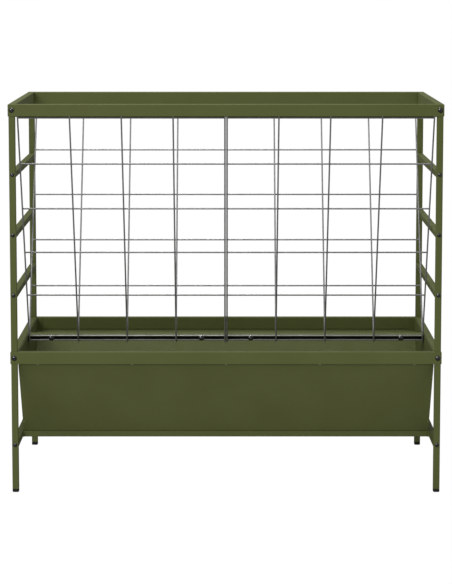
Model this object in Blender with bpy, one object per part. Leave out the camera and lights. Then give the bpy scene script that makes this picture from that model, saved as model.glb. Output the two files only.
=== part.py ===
"""Hay rack feeder.

A frame of square steel tube on four capped feet carries four welded wire panels, a left
and a right one to the front and to the rear, that lean together into a V, and a folded
sheet trough below them.  Folded rails close the frame at the top and at the trough's rim,
and everything is held with button-head bolts.

Metres, +Z up.  The origin is on the floor, under the middle of the frame.
The long side runs along X, and the front faces -Y.
"""

import math

import bmesh
import bpy
from mathutils import Vector

# ---------------------------------------------------------------- driving dimensions

WIDTH = 1.000            # over the legs, along X
DEPTH = 0.600            # over the legs, along Y
HEIGHT = 0.9075          # floor to the top of the rails
GAP = 0.0003             # clearance between pieces that touch

TUBE = 0.015             # square tube, outside
TUBE_WALL = 0.0015
TUBE_CORNER = 0.0022     # outside corner radius
END_WALL = 0.003         # plug welded into the end of a bolted bar

SHEET = 0.0012           # folded sheet
BEND = 0.0010            # inside radius of a fold

RAIL_HEIGHT = 0.028      # outer web
RIM_HEIGHT = 0.0285
RIM_TOP = 0.3325
INNER_WEB = 0.0303       # inner web of a rail or a rim, down from its top

SIDE_BAR_HEIGHTS = (0.745, 0.605, 0.4645)
LOW_BAR_HEIGHT = 0.1125
CROSS_TUBE_FRONT = 0.156  # middle plane to the outer face of a cross tube

FOOT_HEIGHT = 0.0075
FOOT_ROUND = 0.0022
PLUG_HEIGHT = 0.012

TROUGH_HALF_LENGTH = 0.4842
TROUGH_TOP = 0.3295       # top of the upstand between the rim's webs
TROUGH_KNEE = 0.2985      # height where the wall turns inwards
END_PLATE_TOP = 0.3310
END_PLATE_FLANGE = 0.014
END_PLATE_CLEARANCE = 0.0005  # beside the rim's inner webs

WIRE = 0.0019             # radius
WIRE_SINK = 0.0005        # how deep crossing wires are welded into each other
PANEL_COLUMNS = 5
FIRST_COLUMN = 0.0025     # middle plane to the innermost column wire of a panel
COLUMN_PITCH = 0.1192
FIRST_ROW_PITCH = 0.1237
ROW_PITCH = 0.1228
LAST_ROW_PITCH = 0.132
ROW_END = 0.0022          # a row wire beyond the outer column wires
PANEL_TOP_Y = 0.2919      # middle plane to the top row wire
PANEL_BOTTOM_Y = -0.012
FRONT_BOTTOM_Z = 0.3179
REAR_BOTTOM_Z = 0.3280
FRONT_TIPS = (0.007, 0.005)    # column wire ends above and below the outer rows
REAR_TIPS = (0.007, 0.002)

CHANNEL_DEPTH = 0.038
CHANNEL_TOP = 0.3305
CHANNEL_HEIGHT = 0.015
CHANNEL_LIP = 0.0035
CHANNEL_HALF_LENGTH = 0.4825

M6 = {"shank": 0.0029, "head": 0.0060, "dome": 0.0033}
M5 = {"shank": 0.0024, "head": 0.00475, "dome": 0.0027}
CLAMP_BOLT = {"shank": 0.0029, "head": 0.0069, "dome": 0.0036}   # M6 with a flanged head
SHANK_CLEARANCE = 0.0006
BOLT_SIDES = 10
HOLE_SIDES = 8
RAIL_BOLT_LENGTH = 0.011
CLAMP_BOLT_X = (0.060, 0.426)

# ---------------------------------------------------------------- worked-out places

LEG_X = WIDTH / 2 - TUBE / 2
LEG_Y = DEPTH / 2 - TUBE / 2
LEG_TOP = HEIGHT - SHEET - GAP
SHELL = SHEET + GAP                   # how far a folded rail stands outside the legs
FLANGE = TUBE + SHELL                 # rail flange, flush with the legs' inner faces
RAIL_BOTTOM = HEIGHT - RAIL_HEIGHT
RIM_BOTTOM = RIM_TOP - RIM_HEIGHT
RAIL_BOLT_HEIGHT = HEIGHT - RAIL_HEIGHT / 2
RIM_BOLT_HEIGHT = 0.3175
BAR_HALF_LENGTH = DEPTH / 2 - TUBE - GAP
TROUGH_FLOOR = LOW_BAR_HEIGHT + TUBE / 2 + GAP
TROUGH_Y = DEPTH / 2 - TUBE + 2 * SHEET + GAP   # outer face of the pan's upstand
END_PLATE_Y = DEPTH / 2 - TUBE - END_PLATE_CLEARANCE
PANEL_LENGTH = FIRST_ROW_PITCH + 3 * ROW_PITCH + LAST_ROW_PITCH
CHANNEL_FRONT = PANEL_BOTTOM_Y + WIRE + GAP + 0.0001
WIRE_STEP = 2 * WIRE * math.cos(math.radians(30)) - WIRE_SINK

SIDES = (("left", -1), ("right", 1))
ENDS = (("front", -1), ("rear", 1))


# ---------------------------------------------------------------- materials


def make_material(name, colour, roughness, metallic):
    """A plain Principled material."""
    material = bpy.data.materials.new(name)
    material.use_nodes = True
    shader = material.node_tree.nodes["Principled BSDF"]
    shader.inputs["Base Color"].default_value = (*colour, 1.0)
    shader.inputs["Roughness"].default_value = roughness
    shader.inputs["Metallic"].default_value = metallic
    material.diffuse_color = (*colour, 1.0)
    return material


# ---------------------------------------------------------------- mesh tools


def rounded_square(size, radius, steps=2):
    """Corner-rounded square about the origin, anticlockwise."""
    points = []
    reach = size / 2 - radius
    for quarter in range(4):
        middle = math.radians(45 + 90 * quarter)
        centre_x = math.copysign(reach, math.cos(middle))
        centre_y = math.copysign(reach, math.sin(middle))
        for step in range(steps + 1):
            angle = math.radians(90 * quarter + 90 * step / steps)
            points.append((centre_x + radius * math.cos(angle), centre_y + radius * math.sin(angle)))
    return points


def polygon(radius, sides, first=0.0):
    """Regular polygon about the origin, anticlockwise."""
    turn = 2 * math.pi / sides
    return [(radius * math.cos(first + turn * i), radius * math.sin(first + turn * i)) for i in range(sides)]


def left_normal(start, end):
    """Unit normal on the left of the line from start to end."""
    direction = (Vector(end) - Vector(start)).normalized()
    return Vector((-direction.y, direction.x))


def offset_path(path, distance):
    """Open path moved to its left by a distance, with mitred corners."""
    normals = [left_normal(path[i], path[i + 1]) for i in range(len(path) - 1)]
    moved = [Vector(path[0]) + normals[0] * distance]
    for before, after, point in zip(normals, normals[1:], path[1:-1]):
        mitre = (before + after) / (1 + before.dot(after))
        moved.append(Vector(point) + mitre * distance)
    moved.append(Vector(path[-1]) + normals[-1] * distance)
    return [tuple(point) for point in moved]


def folded_sheet(path, steps=2):
    """Outline of a sheet folded along a path of left turns; the path is its outer surface."""
    centres = offset_path(path, SHEET + BEND)
    outer = [Vector(path[0])]
    inner = [Vector(offset_path(path, SHEET)[0])]
    for i in range(1, len(path) - 1):
        before = -left_normal(path[i - 1], path[i])
        after = -left_normal(path[i], path[i + 1])
        turn = before.angle(after)
        first = math.atan2(before.y, before.x)
        for step in range(steps + 1):
            angle = first + turn * step / steps
            spoke = Vector((math.cos(angle), math.sin(angle)))
            outer.append(Vector(centres[i]) + spoke * (SHEET + BEND))
            inner.append(Vector(centres[i]) + spoke * BEND)
    outer.append(Vector(path[-1]))
    inner.append(Vector(offset_path(path, SHEET)[-1]))
    return [tuple(point) for point in outer + inner[::-1]]


def skin_rings(mesh, rings, joined=False):
    """Skin a row of equal rings; joined closes the row on itself, otherwise both ends are capped."""
    rows = [[mesh.verts.new(point) for point in ring] for ring in rings]
    pairs = list(zip(rows, rows[1:]))
    if joined:
        pairs.append((rows[-1], rows[0]))
    else:
        mesh.faces.new(rows[0])
        mesh.faces.new(rows[-1])
    for low, high in pairs:
        for i in range(len(low)):
            j = (i + 1) % len(low)
            mesh.faces.new((low[i], low[j], high[j], high[i]))


def rod(mesh, start, end, radius, sides, facing):
    """Straight rod with one flat turned towards facing."""
    axis = (Vector(end) - Vector(start)).normalized()
    out = Vector(facing)
    out = (out - axis * out.dot(axis)).normalized()
    across = axis.cross(out)
    outline = polygon(radius, sides, math.pi / sides)
    rings = []
    for point in (Vector(start), Vector(end)):
        rings.append([point + out * u + across * v for u, v in outline])
    skin_rings(mesh, rings)


def block(mesh, low, high):
    """Box between two corners."""
    (x0, y0, z0), (x1, y1, z1) = low, high
    rings = [[(x0, y0, z), (x1, y0, z), (x1, y1, z), (x0, y1, z)] for z in (z0, z1)]
    skin_rings(mesh, rings)


def finish_mesh(mesh, name):
    """Turn the faces outwards and hand the mesh to Blender."""
    bmesh.ops.recalc_face_normals(mesh, faces=mesh.faces[:])
    data = bpy.data.meshes.new(name)
    mesh.to_mesh(data)
    mesh.free()
    return data


def add_piece(name, data, material, location=(0, 0, 0), turn=0.0, smooth=False):
    """Named piece on the feeder's empty, turned about Z and then placed."""
    piece = bpy.data.objects.new(name, data)
    bpy.context.scene.collection.objects.link(piece)
    piece.parent = feeder
    piece.location = location
    piece.rotation_euler = (0, 0, turn)
    if not data.materials:
        data.materials.append(material)
    if smooth:
        data.shade_smooth()
        data.set_sharp_from_angle(angle=math.radians(35))
    return piece


def apply_boolean(piece, mesh, operation="DIFFERENCE"):
    """Cut a piece with, or join it to, a helper mesh given in the piece's own frame."""
    helper = bpy.data.objects.new(piece.name + "_helper", finish_mesh(mesh, piece.name + "_helper"))
    bpy.context.scene.collection.objects.link(helper)
    helper.parent = piece
    helper.hide_render = True
    helper.display_type = "WIRE"
    modifier = piece.modifiers.new(operation.title(), "BOOLEAN")
    modifier.operation = operation
    modifier.object = helper
    modifier.solver = "EXACT"


# ---------------------------------------------------------------- tube pieces


def tube_mesh(name, start, end, along):
    """Open square tube; along turns (across, across, length) into a point."""
    outer = rounded_square(TUBE, TUBE_CORNER)
    inner = rounded_square(TUBE - 2 * TUBE_WALL, TUBE_CORNER - TUBE_WALL)
    rings = []
    for outline, place in ((outer, start), (outer, end), (inner, end), (inner, start)):
        rings.append([along(u, v, place) for u, v in outline])
    mesh = bmesh.new()
    skin_rings(mesh, rings, joined=True)
    return finish_mesh(mesh, name)


def make_leg(name, x, y, turn):
    """Upright tube; bolts enter its outer face, and those of the bars leave its inner face."""
    data = tube_mesh(name, FOOT_HEIGHT + GAP, LEG_TOP, lambda u, v, w: (u, v, w))
    leg = add_piece(name, data, olive, (x, y, 0), turn, smooth=True)
    holes = bmesh.new()
    outer_wall = (-TUBE / 2 - 0.001, -TUBE / 2 + TUBE_WALL + 0.001)
    both_walls = (-TUBE / 2 - 0.001, TUBE / 2 + 0.001)
    drilled = [(height, M6, outer_wall) for height in (RAIL_BOLT_HEIGHT, RIM_BOLT_HEIGHT)]
    drilled += [(height, M5, both_walls) for height in (*SIDE_BAR_HEIGHTS, LOW_BAR_HEIGHT)]
    for height, bolt, (start, end) in drilled:
        radius = bolt["shank"] + SHANK_CLEARANCE
        rod(holes, (0, start, height), (0, end, height), radius, HOLE_SIDES, (0, 0, 1))
    apply_boolean(leg, holes)


def make_foot(name, x, y):
    """Moulded cap: a plug inside the tube and a foot with a rounded lower edge."""
    plug = TUBE - 2 * TUBE_WALL - 2 * GAP
    layers = [(TUBE - 2 * FOOT_ROUND, 0.0)]
    for step in (1, 2):
        angle = math.radians(45 * step)
        inset = FOOT_ROUND * (1 - math.sin(angle))
        layers.append((TUBE - 2 * inset, FOOT_ROUND * (1 - math.cos(angle))))
    layers += [(TUBE, FOOT_HEIGHT), (plug, FOOT_HEIGHT), (plug, FOOT_HEIGHT + PLUG_HEIGHT)]
    mesh = bmesh.new()
    rings = []
    for size, height in layers:
        outline = rounded_square(size, TUBE_CORNER * size / TUBE)
        rings.append([(u, v, height) for u, v in outline])
    skin_rings(mesh, rings)
    add_piece(name, finish_mesh(mesh, name), black_plastic, (x, y, 0), smooth=True)


def make_bar(name, x, z):
    """Bar between a front and a rear leg, with a drilled plug in each end."""
    mesh = bmesh.new()
    outline = rounded_square(TUBE, TUBE_CORNER)
    skin_rings(mesh, [[(u, y, v) for u, v in outline] for y in (-BAR_HALF_LENGTH, BAR_HALF_LENGTH)])
    bar = add_piece(name, finish_mesh(mesh, name), olive, (x, 0, z), smooth=True)
    hollow = bmesh.new()
    inside = TUBE / 2 - TUBE_WALL
    reach = BAR_HALF_LENGTH - END_WALL
    block(hollow, (-inside, -reach, -inside), (inside, reach, inside))
    apply_boolean(bar, hollow)
    bore = bmesh.new()
    past = BAR_HALF_LENGTH + 0.001
    rod(bore, (0, -past, 0), (0, past, 0), M5["shank"] + SHANK_CLEARANCE, HOLE_SIDES, (0, 0, 1))
    apply_boolean(bar, bore)


def make_cross_tube(name, y):
    """Open tube under the trough, between the two low bars."""
    half = WIDTH / 2 - TUBE - GAP
    data = tube_mesh(name, -half, half, lambda u, v, w: (w, u, v))
    add_piece(name, data, olive, (0, y, LOW_BAR_HEIGHT), smooth=True)


# ---------------------------------------------------------------- folded pieces


def folded_rail(name, path, half_length, location, turn):
    """Folded length with mitred ends; the path holds (inwards, up) points, outer surface."""
    half = half_length - GAP / math.sqrt(2)
    rings = []
    for side in (-1, 1):
        rings.append([(side * (half - inward), inward, up) for inward, up in folded_sheet(path)])
    mesh = bmesh.new()
    skin_rings(mesh, rings)
    return add_piece(name, finish_mesh(mesh, name), olive, location, turn, smooth=True)


def notch_for_legs(cutter, half_length, low, high):
    """Clear the space behind the outer web where the legs stand."""
    leg_side = half_length - FLANGE - GAP
    for side in (-1, 1):
        ends = sorted((side * leg_side, side * (half_length + 0.001)))
        block(cutter, (ends[0], SHELL - GAP / 2, low), (ends[1], FLANGE + 0.001, high))


def leg_bolt_holes(cutter, half_length, height):
    """Holes in the web in line with the legs."""
    reach = half_length - SHELL - TUBE / 2
    radius = M6["shank"] + SHANK_CLEARANCE
    for x in (-reach, reach):
        rod(cutter, (x, -0.001, height), (x, SHEET + 0.001, height), radius, HOLE_SIDES, (0, 0, 1))


def make_ring(kind, bottom, height):
    """Four folded lengths around the legs, at the top of the frame or at the trough's rim."""
    ring = []
    for name, direction in ENDS:
        place = (0, direction * (DEPTH / 2 + SHELL), bottom)
        ring.append((name, WIDTH / 2 + SHELL, place, 0.0 if direction < 0 else math.pi))
    for name, direction in SIDES:
        place = (direction * (WIDTH / 2 + SHELL), 0, bottom)
        ring.append((name, DEPTH / 2 + SHELL, place, direction * math.pi / 2))
    pieces = {}
    for name, half_length, place, turn in ring:
        path = [(FLANGE, height - INNER_WEB), (FLANGE, height), (0, height), (0, 0)]
        pieces[name] = folded_rail(f"{kind}_{name}", path, half_length, place, turn)
    return pieces


def fit_ring(pieces, height, notch_top, bolt_height):
    """Notch each length round the legs, and drill the front and rear webs for their bolts."""
    for name, piece in pieces.items():
        across = name in ("front", "rear")
        half_length = (WIDTH if across else DEPTH) / 2 + SHELL
        cutter = bmesh.new()
        notch_for_legs(cutter, half_length, height - INNER_WEB - 0.001, notch_top)
        if across:
            leg_bolt_holes(cutter, half_length, bolt_height)
        apply_boolean(piece, cutter)


def make_top_rails():
    """Rails over the legs: the inner webs stop at the legs, the flanges lie on top of them."""
    pieces = make_ring("top_rail", RAIL_BOTTOM, RAIL_HEIGHT)
    fit_ring(pieces, RAIL_HEIGHT, RAIL_HEIGHT - SHEET - GAP / 2, RAIL_BOLT_HEIGHT - RAIL_BOTTOM)


def make_rims():
    """Rim around the trough; its flange is notched round the legs."""
    pieces = make_ring("trough_rim", RIM_BOTTOM, RIM_HEIGHT)
    fit_ring(pieces, RIM_HEIGHT, RIM_HEIGHT + 0.001, RIM_BOLT_HEIGHT - RIM_BOTTOM)


def trough_path():
    """Outer surface of the trough in (y, z), from the front upstand round to the rear one."""
    front = [(-TROUGH_Y, TROUGH_TOP), (-TROUGH_Y, TROUGH_KNEE), (-CROSS_TUBE_FRONT, TROUGH_FLOOR)]
    return front + [(-y, z) for y, z in reversed(front)]


def end_plate_path():
    """Outer surface of an end plate in (y, z): inside the pan, then straight up past the rim."""
    inside = offset_path(trough_path(), SHEET + GAP)
    (knee_y, knee_z), foot = inside[1], inside[2]
    share = (-END_PLATE_Y - knee_y) / (foot[0] - knee_y)
    bend = (-END_PLATE_Y, knee_z + (foot[1] - knee_z) * share)
    front = [(-END_PLATE_Y, END_PLATE_TOP + END_PLATE_FLANGE), bend, foot]
    return front + [(-y, z) for y, z in reversed(front)]


def make_trough():
    """Folded pan, and a flanged plate inside each end of it."""
    outline = folded_sheet(trough_path(), steps=3)
    mesh = bmesh.new()
    skin_rings(mesh, [[(x, y, z) for y, z in outline] for x in (-TROUGH_HALF_LENGTH, TROUGH_HALF_LENGTH)])
    add_piece("trough_pan", finish_mesh(mesh, "trough_pan"), olive, smooth=True)

    outer_path = end_plate_path()
    inner_path = offset_path(outer_path, SHEET)
    inner_path[0] = (inner_path[0][0], inner_path[0][1] - SHEET)
    inner_path[-1] = (inner_path[-1][0], inner_path[-1][1] - SHEET)
    for name, side in SIDES:
        face = side * TROUGH_HALF_LENGTH
        lip = face - side * END_PLATE_FLANGE
        layers = ((outer_path, face), (outer_path, lip), (inner_path, lip), (inner_path, face - side * SHEET))
        mesh = bmesh.new()
        skin_rings(mesh, [[(x, y, z) for y, z in path] for path, x in layers])
        plate = add_piece(f"trough_end_{name}", finish_mesh(mesh, name), olive)
        top = bmesh.new()
        block(top, (-WIDTH, -DEPTH, END_PLATE_TOP), (WIDTH, DEPTH, HEIGHT))
        apply_boolean(plate, top)


def make_channel():
    """Lipped channel along the bottom of the V, with its slot to the front."""
    back = CHANNEL_DEPTH
    top = CHANNEL_HEIGHT
    path = [(0, CHANNEL_LIP), (0, 0), (back, 0), (back, top), (0, top), (0, top - CHANNEL_LIP)]
    outline = folded_sheet(path)
    rings = [[(x, y, z) for y, z in outline] for x in (-CHANNEL_HALF_LENGTH, CHANNEL_HALF_LENGTH)]
    mesh = bmesh.new()
    skin_rings(mesh, rings)
    place = (0, CHANNEL_FRONT, CHANNEL_TOP - CHANNEL_HEIGHT)
    channel = add_piece("centre_channel", finish_mesh(mesh, "centre_channel"), olive, place, smooth=True)
    holes = bmesh.new()
    radius = M6["shank"] + SHANK_CLEARANCE
    height = clamp_height() - (CHANNEL_TOP - CHANNEL_HEIGHT)
    for x in clamp_places():
        rod(holes, (x, back - SHEET - 0.001, height), (x, back + 0.001, height), radius, HOLE_SIDES, (0, 0, 1))
    apply_boolean(channel, holes)


# ---------------------------------------------------------------- wire panels


def panel_frame(which):
    """Top row's point, the unit vector down the panel and the normal on the column wires' side."""
    if which == "front":
        bottom = Vector((0, PANEL_BOTTOM_Y, FRONT_BOTTOM_Z))
        run = PANEL_BOTTOM_Y + PANEL_TOP_Y
    else:
        bottom = Vector((0, PANEL_BOTTOM_Y, REAR_BOTTOM_Z))
        run = PANEL_BOTTOM_Y - PANEL_TOP_Y
    drop = math.sqrt(PANEL_LENGTH ** 2 - run ** 2)
    down = Vector((0, run, -drop)).normalized()
    normal = Vector((0, down.z, -down.y))
    return bottom - down * PANEL_LENGTH, down, normal


def make_panel(which, side, direction, tips):
    """Left or right half of a side of the V: row wires, and column wires welded to their front."""
    top, down, normal = panel_frame(which)
    row_places = [0.0] + [FIRST_ROW_PITCH + i * ROW_PITCH for i in range(4)] + [PANEL_LENGTH]
    columns_x = [direction * (FIRST_COLUMN + i * COLUMN_PITCH) for i in range(PANEL_COLUMNS)]
    inner = Vector((columns_x[0] - direction * ROW_END, 0, 0))
    outer = Vector((columns_x[-1] + direction * ROW_END, 0, 0))
    rows = bmesh.new()
    for distance in row_places:
        middle = top + down * distance
        rod(rows, middle + inner, middle + outer, WIRE, 6, normal)
    name = f"mesh_panel_{which}_{side}"
    panel = add_piece(name, finish_mesh(rows, name), galvanised, smooth=True)
    columns = bmesh.new()
    for x in columns_x:
        axis_top = top + normal * WIRE_STEP + Vector((x, 0, 0))
        start = axis_top - down * tips[0]
        end = axis_top + down * (PANEL_LENGTH + tips[1])
        rod(columns, start, end, WIRE, 6, normal)
    apply_boolean(panel, columns, "UNION")


# ---------------------------------------------------------------- bolts


def bolt_mesh(bolt, length):
    """Button-head bolt; the head's underside is at z = 0 and its dome points up."""
    head = bolt["head"]
    dome = bolt["dome"]
    profile = [
        (bolt["shank"], -length),
        (bolt["shank"], 0),
        (head, 0),
        (head, dome * 0.3),
        (head * 0.80, dome * 0.75),
        (head * 0.40, dome),
    ]
    mesh = bmesh.new()
    skin_rings(mesh, [[(u, v, z) for u, v in polygon(r, BOLT_SIDES)] for r, z in profile])
    return finish_mesh(mesh, "bolt")


def add_bolt(name, data, x, y, z, facing):
    """Bolt with its head towards the front (-1) or the rear (1)."""
    bolt = add_piece(name, data, black_steel, (x, y, z), smooth=True)
    bolt.rotation_euler = (-facing * math.pi / 2, 0, 0)


def clamp_places():
    """X of each clamp bolt."""
    return [side * x for x in CLAMP_BOLT_X for side in (-1, 1)]


def clamp_height():
    """Half way between the two lowest row wires."""
    return (FRONT_BOTTOM_Z + REAR_BOTTOM_Z) / 2


def make_bolts():
    """Bolts of the frame, and the four that clamp the panels to the channel."""
    rail_bolt = bolt_mesh(M6, RAIL_BOLT_LENGTH)
    bar_bolt = bolt_mesh(M5, TUBE + END_WALL + 0.003)
    clamp_bolt = bolt_mesh(CLAMP_BOLT, CHANNEL_DEPTH + 2 * WIRE + 0.004)
    bar_rows = dict(zip(("upper", "middle", "lower"), SIDE_BAR_HEIGHTS))
    for end, facing in ENDS:
        web = facing * (DEPTH / 2 + SHELL + GAP)
        leg = facing * (DEPTH / 2 + GAP)
        for side, direction in SIDES:
            x = direction * LEG_X
            corner = f"{end}_{side}"
            add_bolt(f"rail_bolt_{corner}", rail_bolt, x, web, RAIL_BOLT_HEIGHT, facing)
            add_bolt(f"rim_bolt_{corner}", rail_bolt, x, web, RIM_BOLT_HEIGHT, facing)
            for row, height in bar_rows.items():
                add_bolt(f"side_bar_bolt_{corner}_{row}", bar_bolt, x, leg, height, facing)
            if end == "front":
                add_bolt(f"low_bar_bolt_{corner}", bar_bolt, x, leg, LOW_BAR_HEIGHT, facing)
    seat = PANEL_BOTTOM_Y - WIRE - GAP
    for number, x in enumerate(sorted(clamp_places()), start=1):
        add_bolt(f"clamp_bolt_{number}", clamp_bolt, x, seat, clamp_height(), -1)


# ---------------------------------------------------------------- the feeder

for old in list(bpy.data.objects):
    bpy.data.objects.remove(old, do_unlink=True)

feeder = bpy.data.objects.new("hay_rack_feeder", None)
bpy.context.scene.collection.objects.link(feeder)

olive = make_material("olive_powder_coat", (0.098, 0.109, 0.047), 0.5, 0.0)
galvanised = make_material("galvanised_wire", (0.42, 0.43, 0.42), 0.4, 0.9)
black_steel = make_material("black_bolt", (0.015, 0.015, 0.017), 0.25, 0.3)
black_plastic = make_material("black_foot", (0.012, 0.012, 0.012), 0.5, 0.0)

for end_name, end_sign in ENDS:
    for side_name, side_sign in SIDES:
        corner_x = side_sign * LEG_X
        corner_y = end_sign * LEG_Y
        facing_turn = 0.0 if end_sign < 0 else math.pi
        make_leg(f"leg_{end_name}_{side_name}", corner_x, corner_y, facing_turn)
        make_foot(f"foot_{end_name}_{side_name}", corner_x, corner_y)

for side_name, side_sign in SIDES:
    for bar_name, bar_height in zip(("upper", "middle", "lower"), SIDE_BAR_HEIGHTS):
        make_bar(f"side_bar_{side_name}_{bar_name}", side_sign * LEG_X, bar_height)
    make_bar(f"low_bar_{side_name}", side_sign * LEG_X, LOW_BAR_HEIGHT)

for end_name, end_sign in ENDS:
    make_cross_tube(f"cross_tube_{end_name}", end_sign * (CROSS_TUBE_FRONT - TUBE / 2))

make_top_rails()
make_rims()
make_trough()
make_channel()
for side_name, side_sign in SIDES:
    make_panel("front", side_name, side_sign, FRONT_TIPS)
    make_panel("rear", side_name, side_sign, REAR_TIPS)
make_bolts()
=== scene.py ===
"""Looks of the hay rack feeder.

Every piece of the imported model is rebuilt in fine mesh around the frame: rolled tube
corners, folded sheet with soft edges, round welded wires and socket-head bolts, each with
a procedural finish.  Metres, +Z up; the long side runs along X and the front faces -Y.
"""

import math

import bmesh
import bpy
from mathutils import Matrix, Vector


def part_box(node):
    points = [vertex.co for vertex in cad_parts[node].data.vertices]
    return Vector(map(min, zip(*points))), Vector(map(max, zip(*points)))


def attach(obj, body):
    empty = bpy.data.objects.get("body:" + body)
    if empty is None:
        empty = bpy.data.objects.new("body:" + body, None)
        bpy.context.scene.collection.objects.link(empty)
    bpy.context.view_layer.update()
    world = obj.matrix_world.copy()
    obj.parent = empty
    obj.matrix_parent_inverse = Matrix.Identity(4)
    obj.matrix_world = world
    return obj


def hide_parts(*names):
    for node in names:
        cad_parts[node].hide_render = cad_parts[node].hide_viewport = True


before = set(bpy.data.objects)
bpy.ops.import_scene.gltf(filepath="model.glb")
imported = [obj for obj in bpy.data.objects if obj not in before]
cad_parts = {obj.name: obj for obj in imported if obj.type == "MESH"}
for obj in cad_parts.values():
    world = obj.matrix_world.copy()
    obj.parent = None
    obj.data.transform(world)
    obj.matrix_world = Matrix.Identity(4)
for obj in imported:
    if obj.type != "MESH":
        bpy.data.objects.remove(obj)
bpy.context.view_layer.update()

# ---------------------------------------------------------------- sizes

GAP = 0.0003             # clearance between pieces that touch
SHEET = 0.0012           # folded sheet
BEND = 0.0010            # inside radius of a fold
EDGE = 0.0004            # coated edge of a sheet or a tube end
TUBE_WALL = 0.0015
TUBE_CORNER = 0.0022     # outside corner radius
END_WALL = 0.003         # plug welded into the end of a bolted bar
CORNER_STEPS = 6
CUT = 0.001              # how far a cutter passes a face
BORE_SIDES = 24

FOOT_ROUND = 0.0024      # rounding of a foot's lower edge
FOOT_LIP = 0.0004
PLUG_CHAMFER = 0.001     # height of the eased top of a foot's plug
PLUG_TAPER = 0.0016      # how much narrower the plug is at its top

RAIL_HEIGHT = 0.028      # outer web
RIM_HEIGHT = 0.0285
INNER_WEB = 0.0303       # inner web of a rail or a rim, down from its top
KNEE = 0.2985            # height where the trough wall turns inwards
PLATE_CORNER = 0.0012    # corner radius of an end plate's outline
PLATE_STEPS = 4
CHANNEL_LIP = 0.0035

BEAD = 0.0016            # leg of a weld bead
BEAD_RIPPLE = 0.00018    # quick and slow change in its size round the tube
BEAD_DRIFT = 0.0001
BEAD_REACH = 0.0002      # beyond the end of its tube
BEAD_STATIONS = 96

WIRE = 0.0019            # radius
WIRE_SIDES = 16
WIRE_STEP = 0.00279      # between the axes of welded wires
WELD = 0.0023            # radius of a spot weld between two wires
WELD_DEPTH = 0.0013
WELD_SIDES = 12
WIRE_TIP = 0.0006        # length of a wire's rounded end

M6 = {"shank": 0.0029, "head": 0.0060, "dome": 0.0033, "socket": 0.0020, "depth": 0.0021}
CLAMP_BOLT = {"shank": 0.0029, "head": 0.0069, "dome": 0.0036, "socket": 0.0020, "depth": 0.0021}
M5 = {"shank": 0.0024, "head": 0.00475, "dome": 0.0027, "socket": 0.0015, "depth": 0.0017}
SHANK_CLEARANCE = 0.0006
SHANK_CHAMFER = 0.0008
SOCKET_CHAMFER = 0.0003
SOCKET_POINT = 0.0004    # depth of the drill point at the bottom of a socket
BOLT_SIDES = 36

RIM_SCREW = {"head": 0.0036, "dome": 0.0017}
END_SCREW = {"head": 0.0021, "dome": 0.0014}
SCREW_SHANK = 0.002      # length
SCREW_SIDES = 20
RIM_SCREW_X = (-0.439, -0.219, 0.0, 0.219, 0.439)
RIM_SCREW_RISE = 0.0043  # above the trough's knee
END_SCREW_HEIGHTS = (("upper", 0.267), ("lower", 0.1455))
END_SCREW_INSET = 0.0028  # from the trough's end

leg_low, leg_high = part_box("leg_front_left")
rail_low, rail_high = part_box("top_rail_front")
pan_low, pan_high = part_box("trough_pan")
channel_low, channel_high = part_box("centre_channel")
cross_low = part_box("cross_tube_front")[0]

TUBE = leg_high.x - leg_low.x
SHELL = SHEET + GAP
FLANGE = rail_high.y - rail_low.y
LEG_X = -(leg_low.x + leg_high.x) / 2
LEG_FACE = -leg_low.y

SIDES = (("left", -1), ("right", 1))
ENDS = (("front", -1), ("rear", 1))


# ---------------------------------------------------------------- outlines


def rounded_square(size, radius, steps=CORNER_STEPS):
    """Corner-rounded square about the origin, anticlockwise."""
    points = []
    reach = size / 2 - radius
    for quarter in range(4):
        diagonal = math.radians(45 + 90 * quarter)
        centre_x = math.copysign(reach, math.cos(diagonal))
        centre_y = math.copysign(reach, math.sin(diagonal))
        for step in range(steps + 1):
            angle = math.radians(90 * quarter + 90 * step / steps)
            points.append((centre_x + radius * math.cos(angle), centre_y + radius * math.sin(angle)))
    return points


def circle(radius, sides):
    """Regular polygon about the origin, anticlockwise."""
    turn = 2 * math.pi / sides
    return [(radius * math.cos(turn * i), radius * math.sin(turn * i)) for i in range(sides)]


def hexagon(apothem, sides):
    """Hexagon about the origin with as many points as a circle of that many sides."""
    points = []
    for i in range(sides):
        angle = 2 * math.pi * i / sides
        radius = apothem / math.cos((angle % (math.pi / 3)) - math.pi / 6)
        points.append((radius * math.cos(angle), radius * math.sin(angle)))
    return points


def fillet(corners, steps):
    """Closed outline through (u, v, radius) corners, each rounded by its radius."""
    points = []
    for i, (u, v, radius) in enumerate(corners):
        here = Vector((u, v))
        before = (Vector(corners[i - 1][:2]) - here).normalized()
        after = (Vector(corners[(i + 1) % len(corners)][:2]) - here).normalized()
        half = before.angle(after) / 2
        centre = here + (before + after).normalized() * radius / math.sin(half)
        start = here + before * radius / math.tan(half) - centre
        end = here + after * radius / math.tan(half) - centre
        first = math.atan2(start.y, start.x)
        turn = (math.atan2(end.y, end.x) - first + math.pi) % (2 * math.pi) - math.pi
        for step in range(steps + 1):
            angle = first + turn * step / steps
            points.append(tuple(centre + Vector((math.cos(angle), math.sin(angle))) * radius))
    return points


def offset_path(path, distance):
    """Open path moved to its left by a distance, with mitred corners."""
    normals = []
    for start, end in zip(path, path[1:]):
        direction = (Vector(end) - Vector(start)).normalized()
        normals.append(Vector((-direction.y, direction.x)))
    moved = [Vector(path[0]) + normals[0] * distance]
    for before, after, point in zip(normals, normals[1:], path[1:-1]):
        moved.append(Vector(point) + (before + after) / (1 + before.dot(after)) * distance)
    moved.append(Vector(path[-1]) + normals[-1] * distance)
    return [tuple(point) for point in moved]


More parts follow.
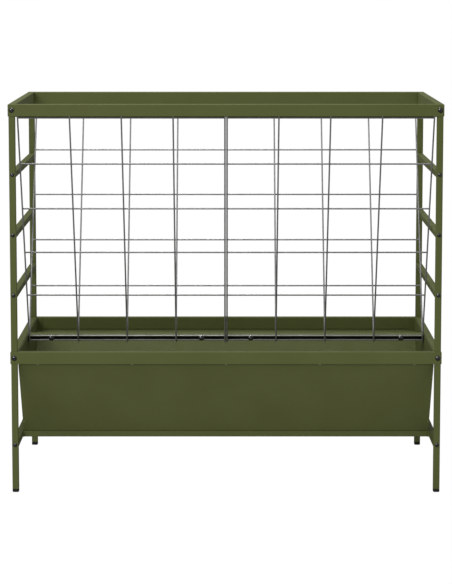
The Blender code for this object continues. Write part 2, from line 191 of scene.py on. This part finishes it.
def folded_sheet(path):
    """Outline of a sheet folded along a path of left turns; the path is its outer surface."""
    outer = [(*point, SHEET + BEND) for point in path]
    inner = [(*point, BEND) for point in offset_path(path, SHEET)]
    for side in (outer, inner):
        side[0] = (*side[0][:2], EDGE)
        side[-1] = (*side[-1][:2], EDGE)
    return fillet(outer + inner[::-1], CORNER_STEPS)


# ---------------------------------------------------------------- mesh tools


def middle(node):
    """Middle of a node's box."""
    low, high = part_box(node)
    return (low + high) / 2


def skin_rings(mesh, rings, joined=False):
    """Skin a row of equal rings; joined closes the row on itself, otherwise both ends are capped."""
    rows = [[mesh.verts.new(point) for point in ring] for ring in rings]
    pairs = list(zip(rows, rows[1:]))
    if joined:
        pairs.append((rows[-1], rows[0]))
    else:
        mesh.faces.new(rows[0])
        mesh.faces.new(rows[-1])
    for low, high in pairs:
        for i in range(len(low)):
            j = (i + 1) % len(low)
            mesh.faces.new((low[i], low[j], high[j], high[i]))


def turned(mesh, start, axis, rings):
    """Rings of (outline, distance) set along an axis from a start point."""
    axis = Vector(axis).normalized()
    helper = Vector((0, 0, 1)) if abs(axis.z) < 0.9 else Vector((1, 0, 0))
    across = helper.cross(axis).normalized()
    up = axis.cross(across)
    placed = []
    for outline, distance in rings:
        centre = Vector(start) + axis * distance
        placed.append([centre + across * u + up * v for u, v in outline])
    skin_rings(mesh, placed)


def block(mesh, low, high):
    """Box between two corners."""
    (x0, y0, z0), (x1, y1, z1) = low, high
    skin_rings(mesh, [[(x0, y0, z), (x1, y0, z), (x1, y1, z), (x0, y1, z)] for z in (z0, z1)])


def finish_mesh(mesh, name):
    """Turn the faces outwards and hand the mesh to Blender."""
    bmesh.ops.recalc_face_normals(mesh, faces=mesh.faces[:])
    data = bpy.data.meshes.new(name)
    mesh.to_mesh(data)
    mesh.free()
    return data


def link(name, data):
    """New object in the scene."""
    piece = bpy.data.objects.new(name, data)
    bpy.context.scene.collection.objects.link(piece)
    return piece


def combine(piece, mesh, operation="DIFFERENCE"):
    """Cut a piece with, or join it to, a helper mesh, and keep only the result."""
    helper = link("helper", finish_mesh(mesh, "helper"))
    modifier = piece.modifiers.new("combine", "BOOLEAN")
    modifier.operation = operation
    modifier.object = helper
    modifier.solver = "EXACT"
    bpy.context.view_layer.update()
    evaluated = piece.evaluated_get(bpy.context.evaluated_depsgraph_get())
    result = bpy.data.meshes.new_from_object(evaluated)
    piece.modifiers.clear()
    piece.data = result
    bpy.data.objects.remove(helper, do_unlink=True)


def finish_piece(piece, material, nodes=(), angle=40):
    """Smooth shading, finish and place in the frame for one piece."""
    piece.data.materials.clear()
    piece.data.materials.append(material)
    piece.data.shade_smooth()
    piece.data.set_sharp_from_angle(angle=math.radians(angle))
    normals = piece.modifiers.new("normals", "WEIGHTED_NORMAL")
    normals.keep_sharp = True
    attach(piece, "root")
    if nodes:
        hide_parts(*nodes)


# ---------------------------------------------------------------- finishes

NOISE_RANGE = (0.3, 0.7)  # where most of a noise texture's values lie


def make_node(tree, kind, inputs=None, **settings):
    """Shader node with its settings and plain input values."""
    node = tree.nodes.new(kind)
    for key, value in settings.items():
        setattr(node, key, value)
    for key, value in (inputs or {}).items():
        node.inputs[key].default_value = value
    return node


def noise(tree, place, scale, detail=2.0, roughness=0.5):
    """Noise texture in the object's own metres."""
    inputs = {"Scale": scale, "Detail": detail, "Roughness": roughness}
    node = make_node(tree, "ShaderNodeTexNoise", inputs)
    tree.links.new(place.outputs["Object"], node.inputs["Vector"])
    return node.outputs["Fac"]


def ramp(tree, source, dark, light):
    """Noise turned into a colour between two."""
    node = make_node(tree, "ShaderNodeValToRGB")
    ends = zip(node.color_ramp.elements, NOISE_RANGE, (dark, light))
    for element, position, colour in ends:
        element.position = position
        element.color = (*colour, 1)
    tree.links.new(source, node.inputs["Fac"])
    return node.outputs["Color"]


def spread(tree, source, low, high):
    """Noise mapped to a range."""
    inputs = {"From Min": NOISE_RANGE[0], "From Max": NOISE_RANGE[1], "To Min": low, "To Max": high}
    node = make_node(tree, "ShaderNodeMapRange", inputs)
    tree.links.new(source, node.inputs["Value"])
    return node.outputs["Result"]


def bumps(tree, heights):
    """Chain of bumps from (height, distance, strength), finest last."""
    normal = None
    for height, distance, strength in heights:
        node = make_node(tree, "ShaderNodeBump", {"Distance": distance, "Strength": strength})
        tree.links.new(height, node.inputs["Height"])
        if normal:
            tree.links.new(normal, node.inputs["Normal"])
        normal = node.outputs["Normal"]
    return normal


def new_material(name):
    """Material with its shader and a texture coordinate node."""
    material = bpy.data.materials.new(name)
    material.use_nodes = True
    tree = material.node_tree
    return material, tree, tree.nodes["Principled BSDF"], make_node(tree, "ShaderNodeTexCoord")


def powder_coat(name, dark, light, roughness):
    """Baked powder paint: orange peel, a fine grain and a slightly uneven tone."""
    material, tree, shader, place = new_material(name)
    tone = noise(tree, place, 9.0, 3.0)
    tree.links.new(ramp(tree, tone, dark, light), shader.inputs["Base Color"])
    gloss = spread(tree, noise(tree, place, 38.0, 3.0), roughness - 0.05, roughness + 0.05)
    tree.links.new(gloss, shader.inputs["Roughness"])
    peel = noise(tree, place, 420.0, 1.0)
    grain = noise(tree, place, 2600.0, 2.0)
    normal = bumps(tree, [(peel, 0.00016, 0.30), (grain, 0.00004, 0.25)])
    tree.links.new(normal, shader.inputs["Normal"])
    shader.inputs["Specular IOR Level"].default_value = 0.25
    return material


def zinc_coat(name, dark, light):
    """Zinc-plated wire: blotchy bright and dull patches with fine drawing marks."""
    material, tree, shader, place = new_material(name)
    patches = noise(tree, place, 240.0, 4.0, 0.6)
    tree.links.new(ramp(tree, patches, dark, light), shader.inputs["Base Color"])
    gloss = spread(tree, noise(tree, place, 600.0, 3.0), 0.32, 0.44)
    tree.links.new(gloss, shader.inputs["Roughness"])
    shader.inputs["Metallic"].default_value = 0.5
    marks = noise(tree, place, 3200.0, 3.0)
    normal = bumps(tree, [(patches, 0.00008, 0.3), (marks, 0.00003, 0.3)])
    tree.links.new(normal, shader.inputs["Normal"])
    return material


def black_oxide(name):
    """Blackened steel: glossy with a slight mottle."""
    material, tree, shader, place = new_material(name)
    mottle = noise(tree, place, 900.0, 3.0)
    colour = ramp(tree, mottle, (0.006, 0.006, 0.007), (0.012, 0.012, 0.014))
    tree.links.new(colour, shader.inputs["Base Color"])
    gloss = spread(tree, noise(tree, place, 1700.0, 2.0), 0.16, 0.24)
    tree.links.new(gloss, shader.inputs["Roughness"])
    tree.links.new(bumps(tree, [(mottle, 0.00004, 0.2)]), shader.inputs["Normal"])
    shader.inputs["IOR"].default_value = 1.9
    return material


def moulded_plastic(name):
    """Black nylon with a fine spark-eroded grain."""
    material, tree, shader, place = new_material(name)
    tone = noise(tree, place, 120.0, 2.0)
    colour = ramp(tree, tone, (0.008, 0.008, 0.008), (0.014, 0.014, 0.014))
    tree.links.new(colour, shader.inputs["Base Color"])
    gloss = spread(tree, noise(tree, place, 300.0, 2.0), 0.40, 0.52)
    tree.links.new(gloss, shader.inputs["Roughness"])
    grain = noise(tree, place, 2400.0, 2.0)
    tree.links.new(bumps(tree, [(grain, 0.00012, 0.4)]), shader.inputs["Normal"])
    return material


olive = powder_coat("olive_paint", (0.075, 0.087, 0.021), (0.082, 0.095, 0.025), 0.60)
# Painted highlight: a lighter copy of the olive paint, so that the small screw heads read as lit.
screw_paint_with_painted_highlight = powder_coat("olive_screw_paint_painted_highlight", (0.130, 0.142, 0.062), (0.160, 0.172, 0.080), 0.38)
zinc = zinc_coat("zinc_wire", (0.19, 0.19, 0.19), (0.29, 0.29, 0.29))
bolt_black = black_oxide("blackened_steel")
foot_black = moulded_plastic("black_nylon")


# ---------------------------------------------------------------- tubes and feet


def tube_rings(low, high, place):
    """Rings of an open tube with coated ends, for skinning joined."""
    outer = rounded_square(TUBE, TUBE_CORNER)
    eased = rounded_square(TUBE - 2 * EDGE, TUBE_CORNER - EDGE)
    inner = rounded_square(TUBE - 2 * TUBE_WALL, TUBE_CORNER - TUBE_WALL)
    rings = []
    layers = [(eased, low), (outer, low + EDGE), (outer, high - EDGE), (eased, high)]
    layers += [(inner, high), (inner, low)]
    for outline, along in layers:
        rings.append([place(u, v, along) for u, v in outline])
    return rings


def bolt_bore(mesh, x, z, start, end, bolt):
    """Round cutter along Y for a bolt at (x, z), from start to end."""
    ring = circle(bolt["shank"] + SHANK_CLEARANCE, BORE_SIDES)
    turned(mesh, (x, start, z), (0, end - start, 0), [(ring, 0.0), (ring, abs(end - start))])


def make_leg(end, facing, side, direction):
    """Upright tube with the holes that its bolts pass through."""
    low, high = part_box(f"leg_{end}_{side}")
    x = direction * LEG_X
    y = (low.y + high.y) / 2
    mesh = bmesh.new()
    skin_rings(mesh, tube_rings(low.z, high.z, lambda u, v, w: (x + u, y + v, w)), joined=True)
    leg = link(f"upright_{end}_{side}", finish_mesh(mesh, "upright"))
    outer = facing * (LEG_FACE + CUT)
    wall = facing * (LEG_FACE - TUBE_WALL - CUT)
    through = facing * (LEG_FACE - TUBE - CUT)
    holes = bmesh.new()
    for kind in ("rail_bolt", "rim_bolt"):
        bolt_bore(holes, x, middle(f"{kind}_{end}_{side}").z, outer, wall, M6)
    small = [f"side_bar_bolt_{end}_{side}_{row}" for row in ("upper", "middle", "lower")]
    for node in [*small, f"low_bar_bolt_front_{side}"]:
        bolt_bore(holes, x, middle(node).z, outer, through, M5)
    combine(leg, holes)
    finish_piece(leg, olive, [f"leg_{end}_{side}"])


def make_foot(end, side):
    """Moulded cap: a plug inside the tube, a small lip and a foot with a rounded lower edge."""
    node = f"foot_{end}_{side}"
    low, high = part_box(node)
    cap_top = leg_low.z - GAP
    plug = TUBE - 2 * TUBE_WALL - 2 * GAP
    layers = []
    for step in range(CORNER_STEPS + 1):
        angle = math.radians(90 * step / CORNER_STEPS)
        inset = FOOT_ROUND * (1 - math.sin(angle))
        layers.append((TUBE - 2 * inset, low.z + FOOT_ROUND * (1 - math.cos(angle))))
    layers.append((TUBE, cap_top - FOOT_LIP))
    layers.append((TUBE - 2 * FOOT_LIP, cap_top))
    layers.append((plug, cap_top))
    layers.append((plug, high.z - PLUG_CHAMFER))
    layers.append((plug - PLUG_TAPER, high.z))
    x = (low.x + high.x) / 2
    y = (low.y + high.y) / 2
    rings = []
    for size, height in layers:
        outline = rounded_square(size, TUBE_CORNER * size / TUBE)
        rings.append([(x + u, y + v, height) for u, v in outline])
    mesh = bmesh.new()
    skin_rings(mesh, rings)
    foot = link(f"foot_cap_{end}_{side}", finish_mesh(mesh, "foot_cap"))
    finish_piece(foot, foot_black, [node])


def make_bar(node):
    """Hollow bar between a front and a rear leg, with a drilled plug in each end."""
    low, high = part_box(node)
    centre = middle(node)
    reach = high.y
    eased = rounded_square(TUBE - 2 * EDGE, TUBE_CORNER - EDGE)
    outer = rounded_square(TUBE, TUBE_CORNER)
    mesh = bmesh.new()
    rings = []
    for outline, y in ((eased, low.y), (outer, low.y + EDGE), (outer, reach - EDGE), (eased, reach)):
        rings.append([(centre.x + u, y, centre.z + v) for u, v in outline])
    skin_rings(mesh, rings)
    bar = link(node.replace("bar", "rung"), finish_mesh(mesh, "bar"))
    hollow = bmesh.new()
    inside = rounded_square(TUBE - 2 * TUBE_WALL, TUBE_CORNER - TUBE_WALL)
    core = reach - END_WALL
    skin_rings(hollow, [[(centre.x + u, y, centre.z + v) for u, v in inside] for y in (-core, core)])
    combine(bar, hollow)
    bores = bmesh.new()
    bolt_bore(bores, centre.x, centre.z, -reach - CUT, reach + CUT, M5)
    combine(bar, bores)
    finish_piece(bar, olive, [node])


def make_cross_tube(end):
    """Open tube under the trough, with a weld bead round each end."""
    node = f"cross_tube_{end}"
    low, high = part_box(node)
    centre = middle(node)
    rings = tube_rings(low.x, high.x, lambda u, v, w: (w, centre.y + u, centre.z + v))
    mesh = bmesh.new()
    skin_rings(mesh, rings, joined=True)
    tube = link(f"trough_bearer_{end}", finish_mesh(mesh, "bearer"))
    finish_piece(tube, olive, [node])
    for side, direction in SIDES:
        make_bead(f"bearer_weld_{end}_{side}", centre, direction, high.x)


def make_bead(name, centre, direction, reach):
    """Rippled fillet weld round the end of a cross tube."""
    outline = rounded_square(TUBE, TUBE_CORNER, 24)
    step = len(outline) / BEAD_STATIONS
    root = reach + BEAD_REACH
    rings = []
    for i in range(BEAD_STATIONS):
        u, v = outline[int(i * step)]
        away = Vector((u, v)).normalized()
        size = BEAD + BEAD_RIPPLE * math.sin(i * 1.9) + BEAD_DRIFT * math.sin(i * 0.37)
        ring = [(direction * root, centre.y + u, centre.z + v)]
        for part in range(6):
            angle = math.radians(90 * part / 5)
            out = size * math.sin(angle)
            along = direction * (root - size * math.cos(angle))
            ring.append((along, centre.y + u + away.x * out, centre.z + v + away.y * out))
        rings.append(ring)
    mesh = bmesh.new()
    skin_rings(mesh, rings, joined=True)
    bead = link(name, finish_mesh(mesh, "bead"))
    finish_piece(bead, olive, angle=70)


# ---------------------------------------------------------------- folded sheet


def make_ring(kind, height):
    """Four mitred lengths round the legs, bent from sheet and notched where the legs stand."""
    for name, direction in ENDS + SIDES:
        node = f"{kind}_{name}"
        low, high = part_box(node)
        across = name in ("front", "rear")
        half_length = high.x if across else high.y
        outer_face = max(abs(low.y), abs(high.y)) if across else max(abs(low.x), abs(high.x))
        path = [(FLANGE, height - INNER_WEB), (FLANGE, height), (0, height), (0, 0)]
        foot = high.z - height

        def place(along, inward, up):
            """Frame point of a rail's own (along, inwards, up)."""
            if across:
                return (along, direction * (outer_face - inward), foot + up)
            return (direction * (outer_face - inward), along, foot + up)

        half = half_length - GAP / math.sqrt(2)
        section = folded_sheet(path)
        rings = []
        for sign in (-1, 1):
            rings.append([place(sign * (half - inward), inward, up) for inward, up in section])
        mesh = bmesh.new()
        skin_rings(mesh, rings)
        piece = link(f"folded_{node}", finish_mesh(mesh, node))

        notch_top = height - SHEET - GAP / 2 if kind == "top_rail" else height + CUT
        cutter = bmesh.new()
        for sign in (-1, 1):
            inner_end = sign * (half_length - FLANGE - GAP)
            near = place(inner_end, SHELL - GAP / 2, height - INNER_WEB - CUT)
            far = place(sign * (half_length + CUT), FLANGE + CUT, notch_top)
            block(cutter, [min(pair) for pair in zip(near, far)], [max(pair) for pair in zip(near, far)])
        combine(piece, cutter)
        if across:
            cutter = bmesh.new()
            kind_bolt = "rail_bolt" if kind == "top_rail" else "rim_bolt"
            start = direction * (outer_face + CUT)
            end = direction * (outer_face - SHEET - CUT)
            for side, sign in SIDES:
                z = middle(f"{kind_bolt}_{name}_{side}").z
                bolt_bore(cutter, sign * LEG_X, z, start, end, M6)
            combine(piece, cutter)
        finish_piece(piece, olive, [node])


def trough_path():
    """Outer surface of the trough in (y, z), from the front upstand round to the rear one.

    Its floor ends over the outer faces of the cross tubes.
    """
    front = [(pan_low.y, pan_high.z), (pan_low.y, KNEE), (cross_low.y, pan_low.z)]
    return front + [(-y, z) for y, z in reversed(front)]


def make_trough():
    """Folded pan with coated edges, and a flanged plate inside each end of it."""
    outline = folded_sheet(trough_path())
    mesh = bmesh.new()
    easing = ((-pan_high.x, EDGE), (-pan_high.x + EDGE, 0), (pan_high.x - EDGE, 0), (pan_high.x, EDGE))
    rings = []
    for x, inset in easing:
        ring = outline if not inset else eased_outline(outline, inset / 2)
        rings.append([(x, y, z) for y, z in ring])
    skin_rings(mesh, rings)
    pan = link("trough_shell", finish_mesh(mesh, "trough_shell"))
    finish_piece(pan, olive, ["trough_pan"])
    for side, direction in SIDES:
        make_end_plate(side, direction)


def eased_outline(outline, inset):
    """Closed outline drawn in by a small distance."""
    points = []
    count = len(outline)
    for i, point in enumerate(outline):
        tangent = (Vector(outline[(i + 1) % count]) - Vector(outline[i - 1])).normalized()
        points.append((point[0] - tangent.y * inset, point[1] + tangent.x * inset))
    return points


def make_end_plate(side, direction):
    """Plate folded like a tray with an open top: its flanges lie inside the trough's walls."""
    node = f"trough_end_{side}"
    low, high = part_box(node)
    face = direction * max(abs(low.x), abs(high.x))
    flange = high.x - low.x
    inside = offset_path(trough_path(), SHEET + GAP)
    knee, foot = Vector(inside[1]), Vector(inside[2])
    bend = knee.lerp(foot, (low.y - knee.x) / (foot.x - knee.x))
    closed = [Vector((low.y, high.z + flange)), bend, foot]
    closed += [Vector((-point.x, point.y)) for point in reversed(closed)]

    def inset(distance):
        """The tray's outline drawn in by a distance, with rounded corners."""
        moved = []
        for i, here in enumerate(closed):
            before = (here - closed[i - 1]).normalized()
            after = (closed[(i + 1) % len(closed)] - here).normalized()
            left_before = Vector((-before.y, before.x))
            left_after = Vector((-after.y, after.x))
            mitre = (left_before + left_after) / (1 + left_before.dot(left_after))
            moved.append(here + mitre * distance)
        return fillet([(point.x, point.y, PLATE_CORNER) for point in moved], PLATE_STEPS)

    fold = SHEET + BEND
    layers = []
    for step in range(CORNER_STEPS + 1):
        angle = math.radians(90 * step / CORNER_STEPS)
        layers.append((fold * (1 - math.sin(angle)), fold * (1 - math.cos(angle))))
    layers.append((0, flange - EDGE))
    layers.append((EDGE, flange))
    layers.append((SHEET - EDGE, flange))
    layers.append((SHEET, flange - EDGE))
    for step in range(CORNER_STEPS + 1):
        angle = math.radians(90 - 90 * step / CORNER_STEPS)
        layers.append((fold - BEND * math.sin(angle), fold - BEND * math.cos(angle)))
    rings = []
    for distance, depth in layers:
        rings.append([(face - direction * depth, y, z) for y, z in inset(distance)])
    mesh = bmesh.new()
    skin_rings(mesh, rings)
    plate = link(f"end_tray_{side}", finish_mesh(mesh, "end_tray"))
    above = bmesh.new()
    block(above, (-1, -1, high.z), (1, 1, 1))
    combine(plate, above)
    finish_piece(plate, olive, [node])


def make_channel():
    """Lipped channel along the bottom of the V, with its slot to the front."""
    back = channel_high.y - channel_low.y
    top = channel_high.z - channel_low.z
    path = [(0, CHANNEL_LIP), (0, 0), (back, 0), (back, top), (0, top), (0, top - CHANNEL_LIP)]
    outline = folded_sheet(path)
    mesh = bmesh.new()
    rings = []
    for x in (channel_low.x, channel_high.x):
        rings.append([(x, channel_low.y + y, channel_low.z + z) for y, z in outline])
    skin_rings(mesh, rings)
    channel = link("clamp_channel", finish_mesh(mesh, "clamp_channel"))
    holes = bmesh.new()
    start = channel_high.y - SHEET - CUT
    for number in range(1, 5):
        place = middle(f"clamp_bolt_{number}")
        bolt_bore(holes, place.x, place.z, start, channel_high.y + CUT, M6)
    combine(channel, holes)
    finish_piece(channel, olive, ["centre_channel"])


# ---------------------------------------------------------------- wire panels

PANELS = {
    "front": {"top": (-0.2919, 0.8757), "bottom": (-0.012, 0.3179), "tips": (0.007, 0.005)},
    "rear": {"top": (0.2919, 0.8731), "bottom": (-0.012, 0.3280), "tips": (0.007, 0.002)},
}
ROW_SHARES = (0.0, 0.19821, 0.39497, 0.59173, 0.78850, 1.0)
FIRST_COLUMN = 0.0025     # middle plane to the innermost column wire of a panel
COLUMN_PITCH = 0.1192
PANEL_COLUMNS = 5


def panel_frame(which):
    """Point of the top row, unit vector down the panel, normal on the columns' side, and length."""
    top = Vector((0, *PANELS[which]["top"]))
    bottom = Vector((0, *PANELS[which]["bottom"]))
    down = (bottom - top).normalized()
    return top, down, Vector((0, down.z, -down.y)), (bottom - top).length


def make_wire(mesh, start, end):
    """Round wire with cropped, slightly rounded ends."""
    start = Vector(start)
    end = Vector(end)
    length = (end - start).length
    sizes = ((0.55, 0.0), (0.85, WIRE_TIP * 0.3), (1.0, WIRE_TIP))
    places = [*sizes, *((size, length - distance) for size, distance in reversed(sizes))]
    rings = [(circle(WIRE * size, WIRE_SIDES), distance) for size, distance in places]
    turned(mesh, start, end - start, rings)


def make_nugget(mesh, centre, normal):
    """Flattened spot weld between two crossing wires."""
    rings = []
    for step in range(1, 8):
        angle = math.pi * step / 8
        rings.append((circle(WELD * math.sin(angle), WELD_SIDES), -WELD_DEPTH * math.cos(angle)))
    turned(mesh, centre, normal, rings)


def make_panel(which, side, direction):
    """Left or right panel of a side of the V, its column wires spot-welded to its front."""
    node = f"mesh_panel_{which}_{side}"
    top, down, normal, length = panel_frame(which)
    low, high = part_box(node)
    columns_x = [direction * (FIRST_COLUMN + i * COLUMN_PITCH) for i in range(PANEL_COLUMNS)]
    rows = bmesh.new()
    for share in ROW_SHARES:
        point = top + down * length * share
        make_wire(rows, point + Vector((low.x, 0, 0)), point + Vector((high.x, 0, 0)))
    panel = link(f"wire_grid_{which}_{side}", finish_mesh(rows, "wire_grid"))
    columns = bmesh.new()
    above, below = PANELS[which]["tips"]
    for x in columns_x:
        start = top + normal * WIRE_STEP + Vector((x, 0, 0))
        make_wire(columns, start - down * above, start + down * (length + below))
    combine(panel, columns, "UNION")
    nuggets = bmesh.new()
    for share in ROW_SHARES:
        for x in columns_x:
            point = top + down * length * share + normal * WIRE_STEP / 2 + Vector((x, 0, 0))
            make_nugget(nuggets, point, normal)
    combine(panel, nuggets, "UNION")
    finish_piece(panel, zinc, [node], angle=50)


# ---------------------------------------------------------------- bolts and screws


def bolt_rings(bolt, length):
    """Button head with a hexagon socket; the head's underside is at 0 and its dome points up."""
    shank, head, dome = bolt["shank"], bolt["head"], bolt["dome"]
    socket, depth = bolt["socket"], bolt["depth"]
    mouth = socket * 1.22
    rings = [(circle(shank * 0.8, BOLT_SIDES), -length)]
    rings.append((circle(shank, BOLT_SIDES), -length + SHANK_CHAMFER))
    rings += [(circle(shank, BOLT_SIDES), 0.0), (circle(head - EDGE, BOLT_SIDES), 0.0)]
    rings.append((circle(head, BOLT_SIDES), EDGE))
    curve = head * 1.2
    edge_height, mouth_height = (math.sqrt(curve ** 2 - radius ** 2) for radius in (head, mouth))
    steps = 10
    for step in range(1, steps + 1):
        radius = head - (head - mouth) * (step / steps)
        share = (math.sqrt(curve ** 2 - radius ** 2) - edge_height) / (mouth_height - edge_height)
        rings.append((circle(radius, BOLT_SIDES), EDGE + (dome - EDGE) * share))
    rings.append((hexagon(socket, BOLT_SIDES), dome - SOCKET_CHAMFER))
    rings.append((hexagon(socket, BOLT_SIDES), dome - depth))
    rings.append((circle(socket * 0.5, BOLT_SIDES), dome - depth - SOCKET_POINT))
    return rings


def make_bolt(node, bolt, copy_to_rear=False):
    """Bolt in the place of a CAD bolt, or the same bolt turned round on the rear leg."""
    low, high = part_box(node)
    facing = 1 if "_rear_" in node else -1
    centre = middle(node)
    length = high.y - low.y - bolt["dome"]
    seat_y = (high.y if facing > 0 else low.y) - facing * bolt["dome"]
    name = node
    if copy_to_rear:
        facing, seat_y, name = 1, -seat_y, node.replace("front", "rear")
    mesh = bmesh.new()
    turned(mesh, (centre.x, seat_y, centre.z), (0, facing, 0), bolt_rings(bolt, length))
    piece = link(f"socket_{name}", finish_mesh(mesh, "socket_bolt"))
    finish_piece(piece, bolt_black, [] if copy_to_rear else [node], angle=32)


def make_bolts():
    """Every bolt of the frame, and the four that clamp the panels to the channel."""
    for side, _ in SIDES:
        for end, _ in ENDS:
            make_bolt(f"rail_bolt_{end}_{side}", M6)
            make_bolt(f"rim_bolt_{end}_{side}", M6)
            for row in ("upper", "middle", "lower"):
                make_bolt(f"side_bar_bolt_{end}_{side}_{row}", M5)
        for copy_to_rear in (False, True):
            make_bolt(f"low_bar_bolt_front_{side}", M5, copy_to_rear)
    for number in range(1, 5):
        make_bolt(f"clamp_bolt_{number}", CLAMP_BOLT)


def make_screw(name, place, axis, screw):
    """Painted pan-head screw with a cross recess; its paint is lighter than the olive as a painted
    highlight.
    """
    head, dome = screw["head"], screw["dome"]
    profile = [(0.40, -SCREW_SHANK), (0.40, 0.0), (0.94, 0.0), (1.0, dome * 0.15)]
    for share in (0.45, 0.75, 0.93, 1.0):
        profile.append((0.25 + 0.75 * math.sin(math.acos(share)), dome * share))
    rings = [(circle(head * size, SCREW_SIDES), height) for size, height in profile]
    mesh = bmesh.new()
    turned(mesh, (0, 0, 0), (0, 0, 1), rings)
    piece = link(name, finish_mesh(mesh, "screw"))
    arm, blade = head * 0.48, head * 0.10
    for reach_x, reach_y in ((arm, blade), (blade, arm)):
        recess = bmesh.new()
        block(recess, (-reach_x, -reach_y, dome * 0.45), (reach_x, reach_y, dome * 1.5))
        combine(piece, recess)
    turn = Vector((0, 0, 1)).rotation_difference(Vector(axis).normalized())
    piece.data.transform(Matrix.Translation(place) @ turn.to_matrix().to_4x4())
    finish_piece(piece, screw_paint_with_painted_highlight, angle=32)


def make_screws():
    """Screws that hold the trough's upstands to the rim, and those that hold its ends."""
    for end, facing in ENDS:
        for number, x in enumerate(RIM_SCREW_X, start=1):
            place = Vector((x, facing * (pan_high.y + GAP), KNEE + RIM_SCREW_RISE))
            make_screw(f"rim_screw_{end}_{number}", place, (0, facing, 0), RIM_SCREW)
        knee = Vector((0, facing * -pan_low.y, KNEE))
        foot = Vector((0, facing * -cross_low.y, pan_low.z))
        slope = (foot - knee).normalized()
        normal = Vector((0, facing * -slope.z, facing * slope.y))
        for side, direction in SIDES:
            across = Vector((direction * (pan_high.x - END_SCREW_INSET), 0, 0))
            for row, height in END_SCREW_HEIGHTS:
                point = knee + slope * (height - KNEE) / slope.z
                place = point + across + normal * GAP
                make_screw(f"end_screw_{end}_{side}_{row}", place, normal, END_SCREW)


# ---------------------------------------------------------------- the feeder

for end_name, end_sign in ENDS:
    for side_name, side_sign in SIDES:
        make_leg(end_name, end_sign, side_name, side_sign)
        make_foot(end_name, side_name)
for side_name, side_sign in SIDES:
    for row_name in ("upper", "middle", "lower"):
        make_bar(f"side_bar_{side_name}_{row_name}")
    make_bar(f"low_bar_{side_name}")
for end_name, end_sign in ENDS:
    make_cross_tube(end_name)
make_ring("top_rail", RAIL_HEIGHT)
make_ring("trough_rim", RIM_HEIGHT)
make_trough()
make_channel()
for side_name, side_sign in SIDES:
    make_panel("front", side_name, side_sign)
    make_panel("rear", side_name, side_sign)
make_bolts()
make_screws()

# ---------------------------------------------------------------- studio

FLOOR_REACH = 14.0       # from its middle to each edge


def by_ray(tree, camera, glossy, other):
    """Value for camera rays, for reflections and for everything else."""
    path = make_node(tree, "ShaderNodeLightPath")
    seen = make_node(tree, "ShaderNodeMapRange", {"To Min": other, "To Max": camera})
    tree.links.new(path.outputs["Is Camera Ray"], seen.inputs["Value"])
    level = make_node(tree, "ShaderNodeMapRange", {"To Max": glossy})
    tree.links.new(path.outputs["Is Glossy Ray"], level.inputs["Value"])
    tree.links.new(seen.outputs["Result"], level.inputs["To Min"])
    return level.outputs["Result"]


def make_floor():
    """Pale seamless floor that stays dark in reflections."""
    mesh = bmesh.new()
    reach = FLOOR_REACH
    corners = [(-reach, -reach, 0), (reach, -reach, 0), (reach, reach, 0), (-reach, reach, 0)]
    mesh.faces.new([mesh.verts.new(corner) for corner in corners])
    data = bpy.data.meshes.new("floor")
    mesh.to_mesh(data)
    mesh.free()
    floor = link("floor", data)
    material, tree, shader, place = new_material("pale_floor")
    tone = spread(tree, noise(tree, place, 3.0), 0.98, 1.0)
    shade = make_node(tree, "ShaderNodeVectorMath", operation="SCALE")
    shade.inputs[0].default_value = (1.0, 1.0, 1.0)
    level = make_node(tree, "ShaderNodeMath", operation="MULTIPLY")
    tree.links.new(tone, level.inputs[0])
    tree.links.new(by_ray(tree, 0.0, 0.05, 0.55), level.inputs[1])
    tree.links.new(level.outputs[0], shade.inputs["Scale"])
    tree.links.new(shade.outputs[0], shader.inputs["Base Color"])
    shader.inputs["Roughness"].default_value = 0.9
    shader.inputs["Specular IOR Level"].default_value = 0.1
    shader.inputs["Emission Color"].default_value = (1, 1, 1, 1)
    tree.links.new(by_ray(tree, 1.0, 0.02, 0.42), shader.inputs["Emission Strength"])
    data.materials.append(material)


def make_world():
    """Even white surround, dimmer in reflections so that the lights stand out in them."""
    world = bpy.data.worlds.new("studio")
    world.use_nodes = True
    tree = world.node_tree
    background = tree.nodes["Background"]
    background.inputs["Color"].default_value = (1, 1, 1, 1)
    tree.links.new(by_ray(tree, 1.0, 0.32, 0.58), background.inputs["Strength"])
    bpy.context.scene.world = world


def add_light(name, place, target, size, power):
    """Square soft box aimed at a point."""
    data = bpy.data.lights.new(name, "AREA")
    data.shape = "SQUARE"
    data.size = size
    data.energy = power
    light = link(name, data)
    light.location = place
    light.rotation_euler = (Vector(target) - Vector(place)).to_track_quat("-Z", "Y").to_euler()


def make_camera():
    """Camera level with the front, looking slightly down."""
    data = bpy.data.cameras.new("camera")
    data.sensor_width = 36.0
    data.lens = 152.88
    camera = link("camera", data)
    camera.location = (0.0, -6.0009, 1.2085)
    camera.rotation_euler = (math.radians(82.647), 0.0, 0.0)
    bpy.context.scene.camera = camera


make_floor()
make_world()
add_light("key", (-2.6, -3.4, 3.4), (0, 0, 0.5), 2.2, 114.0)
add_light("overhead", (-0.3, 0.1, 3.2), (0, 0, 0.5), 1.1, 50.0)
make_camera()
bpy.context.scene.view_settings.view_transform = "Standard"
